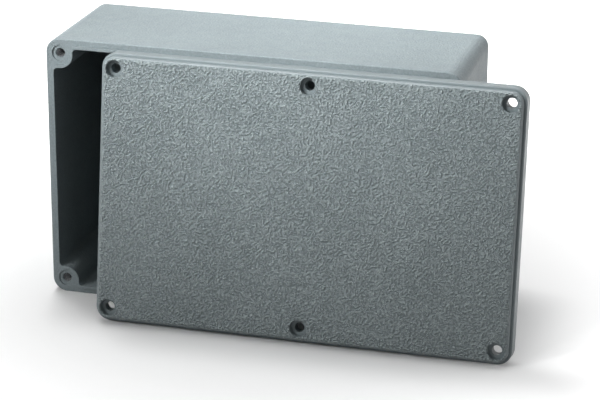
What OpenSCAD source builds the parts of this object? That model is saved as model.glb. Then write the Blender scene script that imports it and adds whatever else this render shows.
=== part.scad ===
// Die cast aluminium box with its lid off. The box stands on a long side wall,
// open face to the front, and the lid stands on the floor before it and leans on its rim.
// Both castings are drawn lying flat, as they leave the die, and are then stood up.

/* [Box] */
// Outside length of the box and of the lid
box_length = 188; // [150:1:260]
// Outside width of the box and of the lid
box_width = 120.5; // [90:0.5:180]
// Depth of the box from its base to the flat of the rim
box_depth = 66; // [40:0.5:100]
// Thickness of the side walls at the rim
wall = 3.9; // [3.2:0.1:5]
// Thickness of the base
base_t = 3.2; // [2.5:0.1:5]
// Draft angle of every cast side
draft = 1; // [0.5:0.1:1.2]
// Radius of the four outside corners at the rim
corner_r = 6.5; // [6:0.1:9]
// Radius of the long edges around the base
base_edge_r = 4.5; // [2:0.1:4.8]
// Radius of the outer edge of the rim
rim_edge_r = 0.6; // [0.3:0.1:1]
// Radius inside, where the walls meet the base
floor_edge_r = 2.5; // [1:0.1:4]

/* [Rim] */
// Height of the tongue that stands up along the inner side of the rim
tongue_h = 1.6; // [1:0.1:3]
// Thickness of the tongue
tongue_w = 1.2; // [0.8:0.1:1.8]

/* [Screw bosses] */
// Radius of the round bosses that carry the lid screws
boss_r = 6.4; // [5.5:0.1:8]
// Radius of the hollow blend from a boss to the wall
boss_blend_r = 1.8; // [1.5:0.1:3]
// Distance from the outer faces to the corner screws
corner_inset = 6.6; // [6:0.1:8]
// Distance from the outer face to the middle screw of a long side
middle_inset = 6.8; // [6:0.1:8]
// Radius of the tapped holes, at the roots of their thread
thread_r = 2; // [1.5:0.05:2.5]
// Depth of the tapped holes
thread_depth = 16; // [8:0.5:25]
// Width of the countersink around each tapped hole
countersink = 0.35; // [0.1:0.05:0.5]
// Radius of the shallow round recess around each screw
recess_r = 3.8; // [3:0.1:4.2]
// Depth of that recess in the box
recess_depth = 0.6; // [0.2:0.1:1.5]

/* [Lid] */
// Thickness of the flange around the lid
flange_t = 6.6; // [5.2:0.1:8]
// Height of the raised face above the flange
raised_h = 3; // [1.5:0.1:5]
// Width of the flange that shows around the raised face
flange_w = 1.3; // [0.8:0.1:3]
// Radius of the edge around the raised face
raised_edge_r = 1.5; // [0.5:0.1:2.5]
// Radius of the front edge of the flange
flange_edge_r = 0.7; // [0.3:0.1:1.5]
// Thickness of the plate behind the raised face
plate_t = 3; // [2:0.1:4]
// Depth of the groove that takes the gasket and the tongue
groove_depth = 3.6; // [3:0.1:5]
// Clearance between the tongue and each side of the groove
groove_gap = 0.5; // [0.2:0.1:0.8]
// Thickness of the wall along the inner side of the groove
groove_wall = 1.5; // [1:0.1:2.5]
// How far that wall stands out as a lip, which goes into the box and centres the lid
lip_h = 3.5; // [1:0.1:5]
// Radius of the counterbores for the screw heads
counterbore_r = 3.75; // [3:0.05:4.2]
// Depth of the counterbores
counterbore_depth = 3; // [2:0.1:4]
// Width of the bevel around each counterbore
counterbore_bevel = 0.3; // [0.1:0.05:0.5]
// Radius of the clearance holes for the screws
clearance_r = 2.2; // [2:0.05:2.8]
// How far the screw bosses of the lid stop short of its parting face
boss_relief = 2.2; // [0:0.1:3]

/* [Gasket] */
// Width of the gasket
gasket_w = 2; // [1.5:0.1:2.4]
// Height of the gasket
gasket_h = 2.2; // [1:0.1:2.8]

/* [Leaning lid] */
// Angle at which the lid leans back
lid_lean = 9; // [5:0.1:20]
// How far the lid stands to the right of the box
lid_shift = 30.4; // [0:0.1:60]
// Clearance between the lip of the lid and the tongue that it leans on
lean_gap = 0.05; // [0.02:0.01:0.3]

/* [Hidden] */
$fn = 48;
box_grey = "#a9b0b2";
lid_grey = "#8f9a9c";
gasket_black = "#2b2b2b";
overshoot = 1;
// Arcs are drawn this much fuller than tangent, and side sections lap over the middle by as
// much, so that they meet cleanly
lap = 0.001;

// Half sizes of the cavity at the rim
cavity_x = box_length / 2 - wall;
cavity_y = box_width / 2 - wall;

// Lid screws, as seen on the box and on the lid
corner_screw = [box_length / 2 - corner_inset, box_width / 2 - corner_inset];
middle_screw = [0, box_width / 2 - middle_inset];

lid_t = flange_t + raised_h;

// Upper edge of the lip as the lid leans, and the tip of the tongue at that height, once the
// box stands: they meet there
lip_top = box_width - wall - groove_gap;
prop_z = lip_top * cos(lid_lean) - lip_h * sin(lid_lean);
prop_y = prop_z * tan(draft) - tongue_h / cos(draft) - box_depth / 2;
lid_foot_y = prop_y - lean_gap - lip_top * sin(lid_lean) - lip_h * cos(lid_lean);

// What a child drawn in one quarter has in all four
module in_four_corners() {
    for (turn_x = [0, 1], turn_y = [0, 1])
        mirror([turn_x, 0, 0]) mirror([0, turn_y, 0]) children();
}

// What a child drawn at the +Y side has at both long sides
module on_both_sides() {
    for (turn_y = [0, 1]) mirror([0, turn_y, 0]) children();
}

// A child at each of the six lid screws
module at_screws() {
    in_four_corners() translate(corner_screw) children();
    on_both_sides() translate(middle_screw) children();
}

// Sharp corner outside an arc from point a to point b, to be cut away
module corner_waste(a, corner, b, centre, r) {
    difference() {
        polygon([a, corner + 0.3 * (corner - centre), b]);
        translate(centre) circle(r + lap);
    }
}

// Section through a drafted side, from its upright line at x = 0 out to x = reach at the top
module side_section(reach, height, base_r, top_r) {
    foot = reach - height * tan(draft);
    outward = [cos(draft), -sin(draft)];
    base_centre = [foot - base_r * (1 - sin(draft)) / cos(draft), base_r];
    top_centre = [reach - top_r * (1 + sin(draft)) / cos(draft), height - top_r];
    difference() {
        polygon([[0, 0], [foot, 0], [reach, height], [0, height]]);
        if (base_r > 0)
            corner_waste([base_centre.x, 0], [foot, 0], base_centre + base_r * outward,
                         base_centre, base_r);
        if (top_r > 0)
            corner_waste([top_centre.x, height], [reach, height], top_centre + top_r * outward,
                         top_centre, top_r);
    }
}

// Section right across: a drafted side of width `reach` at each end of a plain middle
module full_section(half_width, reach, height, base_r, top_r) {
    for (turn = [0, 1])
        mirror([turn, 0])
            translate([half_width - reach, 0]) side_section(reach, height, base_r, top_r);
    translate([reach - half_width - lap, 0]) square([2 * (half_width - reach + lap), height]);
}

// Drafted block with round corners: the corners are turned and the sides are drawn out,
// all from one section, so the draft runs evenly around it
module drafted_block(length, width, corner, height, base_r = 0, top_r = 0) {
    in_four_corners()
        translate([length / 2 - corner, width / 2 - corner, 0])
            rotate_extrude(angle = 90) side_section(corner, height, base_r, top_r);
    rotate([90, 0, 90])
        linear_extrude(length - 2 * corner, center = true)
            full_section(width / 2, corner, height, base_r, top_r);
    rotate([90, 0, 0])
        linear_extrude(width - 2 * corner, center = true)
            full_section(length / 2, corner, height, base_r, top_r);
}

// Centre of the blend between a boss of radius r and a wall that lies `reach` away along X
function blend_centre(reach, r, blend) = [reach - blend, -sqrt(pow(r + blend, 2) - pow(reach - blend, 2))];

// Material between a corner boss and the two walls behind it, seen from above
module corner_web(reach, r, blend) {
    along = blend_centre(reach, r, blend);
    far = reach + wall;
    polygon([[0, 0], along, [far, along.y], [far, far], [along.y, far], [along.y, along.x]]);
}

// Material between a middle boss and the wall behind it
module middle_web(reach, r, blend) {
    along = blend_centre(reach, r, blend);
    far = reach + wall;
    polygon([[0, 0], [-along.y, along.x], [-along.y, far], [along.y, far], [along.y, along.x]]);
}

// Where the blends of a corner boss and of a middle boss have their centres
function corner_blends(reach, r, blend) =
    let (c = blend_centre(reach, r, blend)) [c, [c.y, c.x]];
function middle_blends(reach, r, blend) =
    let (c = blend_centre(reach, r, blend)) [[c.y, c.x], [-c.y, c.x]];

// Distance from each screw to the cavity wall behind it
corner_reach = corner_inset - wall;
middle_reach = middle_inset - wall;

// Plan of the cavity, grown outwards by `grow`. Its edge is the line that tongue, groove
// and gasket follow: straight along the walls and round each boss, with tangent blends.
module cavity_plan(grow = 0, blend = undef) {
    r = boss_r - grow;
    b = is_undef(blend) ? boss_blend_r + grow : blend;
    difference() {
        square(2 * [cavity_x + grow, cavity_y + grow], center = true);
        in_four_corners() translate(corner_screw) {
            difference() {
                corner_web(corner_reach + grow, r, b);
                for (c = corner_blends(corner_reach + grow, r, b)) translate(c) circle(b + lap);
            }
            circle(r);
        }
        on_both_sides() translate(middle_screw) {
            difference() {
                middle_web(middle_reach + grow, r, b);
                for (c = middle_blends(middle_reach + grow, r, b)) translate(c) circle(b + lap);
            }
            circle(r);
        }
    }
}

// Ring between two growths of the cavity plan
module rim_ring(inner, outer) {
    difference() {
        cavity_plan(outer);
        cavity_plan(inner);
    }
}

// Pillar of one boss in the cavity. Draft makes the boss wider and its blends tighter
// towards the base, about the same centres.
module boss_pillar(height, low, high, blends) {
    difference() {
        linear_extrude(height) children();
        for (c = blends)
            translate([c.x, c.y, -overshoot])
                cylinder(height + 2 * overshoot, boss_blend_r + low - overshoot * tan(draft) + lap,
                         boss_blend_r + high + overshoot * tan(draft) + lap);
    }
    cylinder(height, boss_r - low, boss_r - high);
}

// Everything that is hollow in the box, from its base up through the tongue
module cavity() {
    height = box_depth + tongue_h + overshoot - base_t;
    low = -(box_depth - base_t) * tan(draft);
    high = (tongue_h + overshoot) * tan(draft);
    translate([0, 0, base_t]) difference() {
        intersection() {
            rotate([90, 0, 90])
                linear_extrude(box_length, center = true)
                    full_section(cavity_y + high, corner_r, height, floor_edge_r, 0);
            rotate([90, 0, 0])
                linear_extrude(box_width, center = true)
                    full_section(cavity_x + high, corner_r, height, floor_edge_r, 0);
        }
        in_four_corners() translate(corner_screw)
            boss_pillar(height, low, high, corner_blends(corner_reach, boss_r, boss_blend_r))
                corner_web(corner_reach, boss_r, boss_blend_r);
        on_both_sides() translate(middle_screw)
            boss_pillar(height, low, high, middle_blends(middle_reach, boss_r, boss_blend_r))
                middle_web(middle_reach, boss_r, boss_blend_r);
    }
}

// Tapped hole in a boss, with its countersink and the shallow recess around it
module tapped_hole() {
    translate([0, 0, box_depth - recess_depth]) {
        cylinder(recess_depth + overshoot, r = recess_r);
        translate([0, 0, -countersink]) cylinder(countersink, thread_r, thread_r + countersink);
        translate([0, 0, -thread_depth]) cylinder(thread_depth, r = thread_r);
        translate([0, 0, -thread_depth - thread_r / 2]) cylinder(thread_r / 2, 0, thread_r);
    }
}

// The box, lying on its base
module box_casting() {
    difference() {
        union() {
            drafted_block(box_length, box_width, corner_r, box_depth, base_edge_r, rim_edge_r);
            translate([0, 0, box_depth - overshoot])
                linear_extrude(tongue_h + overshoot) cavity_plan(tongue_w);
        }
        cavity();
        at_screws() tapped_hole();
    }
}

// Screw hole through the lid: recess behind, clearance hole and counterbore in front
module lid_hole() {
    translate([0, 0, -overshoot]) {
        cylinder(boss_relief + overshoot, r = recess_r);
        cylinder(lid_t, r = clearance_r);
    }
    translate([0, 0, lid_t - counterbore_depth])
        cylinder(counterbore_depth + overshoot, r = counterbore_r);
    translate([0, 0, lid_t - counterbore_bevel])
        cylinder(counterbore_bevel + overshoot, counterbore_r,
                 counterbore_r + counterbore_bevel + overshoot);
}

// The lid, with its parting face at z = 0 and its lip below that
module lid_casting() {
    difference() {
        union() {
            translate([0, 0, flange_t]) mirror([0, 0, 1])
                drafted_block(box_length, box_width, corner_r, flange_t, flange_edge_r);
            translate([0, 0, lid_t]) mirror([0, 0, 1])
                drafted_block(box_length - 2 * flange_w, box_width - 2 * flange_w,
                              corner_r - flange_w, lid_t, raised_edge_r);
            translate([0, 0, -lip_h]) linear_extrude(lip_h + overshoot) cavity_plan();
        }
        translate([0, 0, -lip_h - overshoot]) {
            linear_extrude(overshoot + lip_h + groove_depth)
                rim_ring(-groove_gap, tongue_w + groove_gap);
            linear_extrude(overshoot + lip_h + lid_t - plate_t)
                cavity_plan(-groove_gap - groove_wall, boss_blend_r);
        }
        at_screws() lid_hole();
    }
}

// The gasket, at the bottom of the groove in the lid
module gasket_strip() {
    translate([0, 0, groove_depth - gasket_h])
        linear_extrude(gasket_h) rim_ring((tongue_w - gasket_w) / 2, (tongue_w + gasket_w) / 2);
}

// Stands the box on its drafted long side, with that side flat on the floor
module stand_box() {
    translate([0, -box_depth / 2, 0])
        rotate([-draft, 0, 0])
            translate([0, box_depth, box_width / 2]) rotate([90, 0, 0]) children();
}

// Stands the lid on the lower edge of its parting face and leans its lip on the tongue of the box
module lean_lid() {
    translate([lid_shift, lid_foot_y, 0])
        rotate([-lid_lean, 0, 0])
            translate([0, 0, box_width / 2]) rotate([90, 0, 0]) children();
}

module box() {
    color(box_grey) stand_box() box_casting();
}

module lid() {
    color(lid_grey) lean_lid() lid_casting();
}

module gasket() {
    color(gasket_black) lean_lid() gasket_strip();
}

box();
lid();
gasket();
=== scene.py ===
"""Looks of a die cast aluminium box and its lid, in grey textured paint, in a white studio."""
import math

import bpy
from mathutils import Matrix, Vector


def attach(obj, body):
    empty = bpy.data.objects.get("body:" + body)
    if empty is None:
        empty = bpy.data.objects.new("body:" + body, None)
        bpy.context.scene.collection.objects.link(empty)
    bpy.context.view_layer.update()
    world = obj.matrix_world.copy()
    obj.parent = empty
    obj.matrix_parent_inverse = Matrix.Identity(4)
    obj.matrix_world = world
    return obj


MM = 0.001

# Sizes of the castings in millimetres, the same as the model's
BOX_LENGTH = 188.0
BOX_WIDTH = 120.5
BOX_DEPTH = 66.0
DRAFT = math.radians(1.0)
LID_LEAN = math.radians(9.0)
CORNER_INSET = 6.6
MIDDLE_INSET = 6.8
RECESS_DEPTH = 0.6
COUNTERSINK = 0.35
THREAD_R = 2.0
THREAD_DEPTH = 16.0

# M4 coarse thread
THREAD_PITCH = 0.7
THREAD_MINOR_R = 1.62

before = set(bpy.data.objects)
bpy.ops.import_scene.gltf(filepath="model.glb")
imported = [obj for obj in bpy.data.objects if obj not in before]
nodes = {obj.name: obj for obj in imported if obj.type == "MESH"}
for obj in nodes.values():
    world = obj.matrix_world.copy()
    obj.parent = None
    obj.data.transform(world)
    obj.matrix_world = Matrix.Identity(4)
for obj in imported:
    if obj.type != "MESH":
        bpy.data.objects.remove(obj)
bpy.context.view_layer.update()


# Where the box stands: from the casting lying on its base to the box on its long side
def box_placement():
    stand = Matrix.Rotation(math.radians(90), 4, "X")
    lean = Matrix.Rotation(-DRAFT, 4, "X")
    to_middle = Matrix.Translation((0, -BOX_DEPTH * MM / 2, 0))
    to_rim = Matrix.Translation((0, BOX_DEPTH * MM, BOX_WIDTH * MM / 2))
    return to_middle @ lean @ to_rim @ stand


# Where the six screws are, in the casting
def screw_places():
    x = BOX_LENGTH / 2 - CORNER_INSET
    y = BOX_WIDTH / 2 - CORNER_INSET
    middle = BOX_WIDTH / 2 - MIDDLE_INSET
    return [(-x, y), (0, middle), (x, y), (-x, -y), (0, -middle), (x, -y)]


class Nodes:
    """A node tree, with short calls for the nodes that the materials and the sky are made of."""

    def __init__(self, tree, output_kind):
        self.tree = tree
        self.tree.nodes.clear()
        self.output = self.add(output_kind)

    def add(self, kind, inputs=None, **settings):
        node = self.tree.nodes.new(kind)
        for key, value in settings.items():
            setattr(node, key, value)
        for key, value in (inputs or {}).items():
            self.put(node.inputs[key], value)
        return node

    def put(self, socket, value):
        if isinstance(value, bpy.types.NodeSocket):
            self.tree.links.new(value, socket)
        else:
            socket.default_value = value

    def math(self, operation, a, b):
        return self.add("ShaderNodeMath", {0: a, 1: b}, operation=operation).outputs[0]

    def vector(self, operation, inputs):
        return self.add("ShaderNodeVectorMath", inputs, operation=operation)

    def spread(self, value, low, high, to_low=0.0, to_high=1.0):
        node = self.add(
            "ShaderNodeMapRange",
            {"Value": value, "From Min": low, "From Max": high, "To Min": to_low, "To Max": to_high},
            interpolation_type="SMOOTHSTEP",
        )
        return node.outputs[0]

    def mix_colour(self, factor, a, b):
        node = self.add("ShaderNodeMix", data_type="RGBA")
        self.put(node.inputs[0], factor)
        self.put(node.inputs[6], a)
        self.put(node.inputs[7], b)
        return node.outputs[2]

    def place(self):
        return self.add("ShaderNodeTexCoord").outputs["Object"]

    def noise(self, vector, size_mm, detail=2.0, roughness=0.5):
        node = self.add(
            "ShaderNodeTexNoise",
            {"Vector": vector, "Scale": 1.0 / (size_mm * MM), "Detail": detail, "Roughness": roughness},
        )
        return node.outputs[0]

    # 1 for what the camera sees itself, in a reflection or through something clear, otherwise 0
    def seen(self):
        path = self.add("ShaderNodeLightPath")
        direct = self.math("MAXIMUM", path.outputs["Is Camera Ray"], path.outputs["Is Glossy Ray"])
        return self.math("MAXIMUM", direct, path.outputs["Is Transmission Ray"])

    def surface(self, shader):
        self.tree.links.new(shader.outputs[0], self.output.inputs["Surface"])


def new_material(name):
    material = bpy.data.materials.new(name)
    material.use_nodes = True
    return material, Nodes(material.node_tree, "ShaderNodeOutputMaterial")


def linear(red, green, blue):
    """Linear colour of an sRGB one given from 0 to 255."""
    out = []
    for value in (red, green, blue):
        v = value / 255
        out.append(v / 12.92 if v <= 0.04045 else ((v + 0.055) / 1.055) ** 2.4)
    return (*out, 1.0)


def grey(level):
    return (level, level, level, 1.0)


# Colours of the paint in the furrows of the grain and on its crowns, and where it is smooth. The darker
# furrow colour is painted shade and the lighter crown colour is painted highlight, standing in for the
# grain's relief. The box's colours are the lid's paint made darker, a painted shade.
LID_COLOURS = (linear(114, 125, 127), linear(166, 177, 179))
BOX_COLOURS = (linear(103, 114, 117), linear(147, 157, 160))
LID_SMOOTH_COLOUR = linear(118, 128, 131)

# Depth of the grain in millimetres, how much of it shows, and the least roughness
LID_RELIEF = 0.95
BOX_RELIEF = 0.5
FLANGE_GRAIN = 0.1
BOX_GRAIN = 0.3
LID_ROUGHNESS = 0.36
BOX_ROUGHNESS = 0.52
ROUGHNESS_RANGE = 0.08

# Sizes of the grain, and of the slow changes in colour and roughness, in millimetres
DOME_SIZE = 0.95
FOLD_SIZE = 0.9
WARP_SIZE = 1.6
WARP_REACH = 0.6
CLOUD_SIZE = 40.0
POLISH_SIZE = 6.0


# Height of the grain from 0 to 1: small domes that are bent out of line, with folds among them
def grains(n, place):
    warp = n.add(
        "ShaderNodeTexNoise", {"Vector": place, "Scale": 1 / (WARP_SIZE * MM), "Detail": 1.0}
    )
    shift = n.vector("SUBTRACT", {0: warp.outputs["Color"], 1: (0.5, 0.5, 0.5)})
    scaled = n.vector("SCALE", {0: shift.outputs[0], "Scale": WARP_REACH * MM})
    bent = n.vector("ADD", {0: place, 1: scaled.outputs[0]})
    cells = n.add(
        "ShaderNodeTexVoronoi",
        {"Vector": bent.outputs[0], "Scale": 1 / (DOME_SIZE * MM), "Smoothness": 0.35},
        feature="SMOOTH_F1",
    )
    domes = n.spread(cells.outputs["Distance"], 0.05, 0.7, 1.0, 0.0)
    folds = n.spread(n.noise(place, FOLD_SIZE, detail=1.0, roughness=0.4), 0.36, 0.64)
    return n.math("MULTIPLY", n.math("ADD", domes, folds), 0.5)


# How much grain the lid has: all of it on the raised face, little from its rounded edge down
def grain_on_lid(n, place):
    outward = (0.0, -math.cos(LID_LEAN), math.sin(LID_LEAN))
    face = max(vertex.co.dot(Vector(outward)) for vertex in nodes["lid"].data.vertices)
    level = n.vector("DOT_PRODUCT", {0: place, 1: outward}).outputs["Value"]
    return n.spread(level, face - 0.45 * MM, face - 0.02 * MM, FLANGE_GRAIN, 1.0)


def paint(name, colours, relief, roughness, grain_amount, smooth_colour=None):
    material, n = new_material(name)
    place = n.place()
    amount = grain_amount(n, place) if callable(grain_amount) else grain_amount
    height = n.math("MULTIPLY", n.math("SUBTRACT", grains(n, place), 0.5), amount)
    cloud = n.noise(place, CLOUD_SIZE, detail=3.0)
    # The colour follows the grain's height: painted shade in the furrows and painted highlight on the
    # crowns, with a slow random change of tone from the cloud
    shade = n.math("ADD", height, n.spread(cloud, 0.3, 0.7, 0.44, 0.56))
    colour = n.mix_colour(shade, *colours)
    if smooth_colour:
        colour = n.mix_colour(amount, smooth_colour, colour)
    bump = n.add("ShaderNodeBump", {"Strength": 1.0, "Distance": relief * MM, "Height": height})
    polish = n.noise(place, POLISH_SIZE)
    n.surface(n.add(
        "ShaderNodeBsdfPrincipled",
        {
            "Base Color": colour,
            "Roughness": n.spread(polish, 0.3, 0.7, roughness, roughness + ROUGHNESS_RANGE),
            "Normal": bump.outputs[0],
        },
    ))
    return material


def box_paint():
    return paint("Box_paint", BOX_COLOURS, BOX_RELIEF, BOX_ROUGHNESS, BOX_GRAIN)


def lid_paint():
    return paint("Lid_paint", LID_COLOURS, LID_RELIEF, LID_ROUGHNESS, grain_on_lid, LID_SMOOTH_COLOUR)


# Cut metal painted dark, a painted shade for the depth of the tapped holes, with fine turning marks
def cut_metal_in_painted_shade():
    material, n = new_material("Cut_metal_painted_shade")
    turning = n.noise(n.place(), 0.25, detail=3.0)
    bump = n.add("ShaderNodeBump", {"Strength": 0.25, "Distance": 0.03 * MM, "Height": turning})
    mark = n.spread(turning, 0.3, 0.7)
    n.surface(n.add(
        "ShaderNodeBsdfPrincipled",
        {
            # The dark base colour is painted shade; the turning marks vary it at random
            "Base Color": n.mix_colour(mark, (0.07, 0.075, 0.08, 1), (0.22, 0.23, 0.24, 1)),
            "Metallic": 0.5,
            "Roughness": n.spread(turning, 0.3, 0.7, 0.24, 0.36),
            "Normal": bump.outputs[0],
        },
    ))
    return material


def rubber():
    material, n = new_material("Gasket_rubber")
    grain = n.noise(n.place(), 0.4, detail=3.0)
    bump = n.add("ShaderNodeBump", {"Strength": 0.3, "Distance": 0.05 * MM, "Height": grain})
    n.surface(n.add(
        "ShaderNodeBsdfPrincipled",
        {
            "Base Color": n.mix_colour(grain, (0.012, 0.012, 0.013, 1), (0.022, 0.022, 0.023, 1)),
            "Roughness": n.spread(grain, 0.3, 0.7, 0.62, 0.78),
            "Normal": bump.outputs[0],
        },
    ))
    return material


def dress(node, material):
    data = nodes[node].data
    data.materials.clear()
    data.materials.append(material)


dress("box", box_paint())
dress("lid", lid_paint())
dress("gasket", rubber())

# Thread ridges in the six holes of the box, from just inside the wall of the hole
RIDGE_STEPS = 28
RIDGE_WALL_R = THREAD_R - 0.01
RIDGE_HALF = THREAD_PITCH * 0.42
RIDGE_START = THREAD_PITCH * 0.55
RUN_OUT_TURNS = 0.6
LEAST_RIDGE = 0.02
SHARP_ANGLE = math.radians(40)


def ridge_points(x, y):
    """Points of one hole's ridge, four to a step, which runs out at both ends, and its steps."""
    profile = [
        (RIDGE_WALL_R, RIDGE_HALF),
        (THREAD_MINOR_R, RIDGE_HALF * 0.25),
        (THREAD_MINOR_R, -RIDGE_HALF * 0.25),
        (RIDGE_WALL_R, -RIDGE_HALF),
    ]
    top = BOX_DEPTH - RECESS_DEPTH - COUNTERSINK
    turns = (THREAD_DEPTH - COUNTERSINK) / THREAD_PITCH - 1
    count = int(turns * RIDGE_STEPS)
    run_out = RUN_OUT_TURNS * RIDGE_STEPS
    points = []
    for i in range(count + 1):
        turn = 2 * math.pi * i / RIDGE_STEPS
        height = top - RIDGE_START - THREAD_PITCH * i / RIDGE_STEPS
        fade = max(min(1.0, i / run_out, (count - i) / run_out), LEAST_RIDGE)
        for radius, rise in profile:
            r = RIDGE_WALL_R - (RIDGE_WALL_R - radius) * fade
            points.append((x + r * math.cos(turn), y - r * math.sin(turn), height + rise))
    return points, count


def ridge_faces(base, count):
    faces = []
    for i in range(count):
        for k in range(3):
            a = base + 4 * i + k
            faces.append((a, a + 1, a + 5, a + 4))
        a = base + 4 * i
        faces.append((a + 3, a, a + 4, a + 7))
    end = base + 4 * count
    faces.append((base + 3, base + 2, base + 1, base))
    faces.append((end, end + 1, end + 2, end + 3))
    return faces


def thread_mesh():
    vertices, faces = [], []
    for x, y in screw_places():
        points, count = ridge_points(x, y)
        faces += ridge_faces(len(vertices), count)
        vertices += points
    placement = box_placement()
    data = bpy.data.meshes.new("box_threads")
    data.from_pydata([placement @ (Vector(v) * MM) for v in vertices], [], faces)
    data.validate()
    data.update()
    for polygon in data.polygons:
        polygon.use_smooth = True
    data.set_sharp_from_angle(angle=SHARP_ANGLE)
    data.materials.append(cut_metal_in_painted_shade())
    return data


threads = bpy.data.objects.new("box_threads", thread_mesh())
bpy.context.scene.collection.objects.link(threads)
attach(threads, "root")

# White floor, which glows away from the object where it is seen, and throws little light back. The glow
# is painted light that grows with distance, so the floor near the object is left darker, a painted
# shade around it.
FLOOR_HALF = 6.0
FLOOR_GLOW = 0.70
GLOW_FROM = 0.07
GLOW_FULL = 0.30
FLOOR_SEEN = (grey(0.90), grey(0.92))
FLOOR_BOUNCE = grey(0.30)


def floor_material():
    material, n = new_material("Studio_white")
    place = n.place()
    seen = n.seen()
    away = n.vector("DISTANCE", {0: place, 1: (0.0, 0.0, 0.0)}).outputs["Value"]
    # Painted light that grows with distance from the object, leaving a painted shade on the floor close
    # to it
    glow_level = n.math("MULTIPLY", seen, n.spread(away, GLOW_FROM, GLOW_FULL, 0.0, FLOOR_GLOW))
    white = n.mix_colour(n.noise(place, 300.0), *FLOOR_SEEN)
    diffuse = n.add("ShaderNodeBsdfDiffuse", {"Color": n.mix_colour(seen, FLOOR_BOUNCE, white)})
    glow = n.add("ShaderNodeEmission", {"Color": grey(1.0), "Strength": glow_level})
    n.surface(n.add("ShaderNodeAddShader", {0: diffuse.outputs[0], 1: glow.outputs[0]}))
    return material


def floor():
    a = FLOOR_HALF
    data = bpy.data.meshes.new("studio_floor")
    data.from_pydata([(-a, -a, 0), (a, -a, 0), (a, a, 0), (-a, a, 0)], [], [(0, 1, 2, 3)])
    data.materials.append(floor_material())
    floor_object = bpy.data.objects.new("studio_floor", data)
    bpy.context.scene.collection.objects.link(floor_object)


# Sky: bright where it is seen, dim as a light
SKY_SEEN = 1.0
SKY_LIGHT = 0.22


def sky():
    world = bpy.data.worlds.new("Studio_sky")
    bpy.context.scene.world = world
    world.use_nodes = True
    n = Nodes(world.node_tree, "ShaderNodeOutputWorld")
    level = n.add("ShaderNodeMapRange", {"Value": n.seen(), "To Min": SKY_LIGHT, "To Max": SKY_SEEN})
    n.surface(n.add("ShaderNodeBackground", {"Strength": level.outputs[0]}))


# Lamps: name, place, aim, size, watts, beam angle, and whether reflections show it
LAMPS = [
    ("overhead_light", (0.0, 0.20, 1.20), (0.0, 0.0, 0.0), (1.2, 1.0), 5.8, 180.0, True),
    ("key_light", (-0.25, 0.25, 1.15), (0.0, 0.0, 0.0), (0.3, 0.2), 5.5, 180.0, True),
    ("left_light", (-0.60, -0.60, 0.60), (-0.12, -0.03, 0.245), (0.3, 0.3), 0.50, 25.0, False),
    ("front_light", (-0.20, -0.45, 0.50), (0.0, -0.03, 0.27), (0.2, 0.2), 0.40, 34.0, False),
    ("side_light", (0.60, 0.15, 0.25), (0.05, 0.0, 0.05), (0.3, 0.3), 0.52, 180.0, True),
]


def lamp(name, place, aim, size, watts, beam, in_reflections):
    data = bpy.data.lights.new(name, "AREA")
    data.shape = "RECTANGLE"
    data.size, data.size_y = size
    data.energy = watts
    data.spread = math.radians(beam)
    lamp_object = bpy.data.objects.new(name, data)
    lamp_object.location = place
    lamp_object.rotation_euler = (Vector(aim) - Vector(place)).to_track_quat("-Z", "Y").to_euler()
    lamp_object.visible_camera = False
    lamp_object.visible_glossy = in_reflections
    bpy.context.scene.collection.objects.link(lamp_object)


# Camera at the photograph's angle
def camera():
    target = Vector((23.217, -33.0, 56.421)) * MM
    distance = 1083.877 * MM
    pitch = math.radians(21.480)
    yaw = math.radians(15.414)
    across = math.cos(pitch)
    forward = Vector((-math.sin(yaw) * across, math.cos(yaw) * across, -math.sin(pitch)))
    data = bpy.data.cameras.new("photo_camera")
    data.sensor_fit = "HORIZONTAL"
    data.sensor_width = 36.0
    data.lens = 148.195
    data.clip_start = 0.05
    camera_object = bpy.data.objects.new("photo_camera", data)
    camera_object.location = target - forward * distance
    camera_object.rotation_euler = (math.radians(90) - pitch, 0, yaw)
    bpy.context.scene.collection.objects.link(camera_object)
    bpy.context.scene.camera = camera_object


floor()
sky()
for row in LAMPS:
    lamp(*row)
camera()
bpy.context.scene.view_settings.view_transform = "Standard"
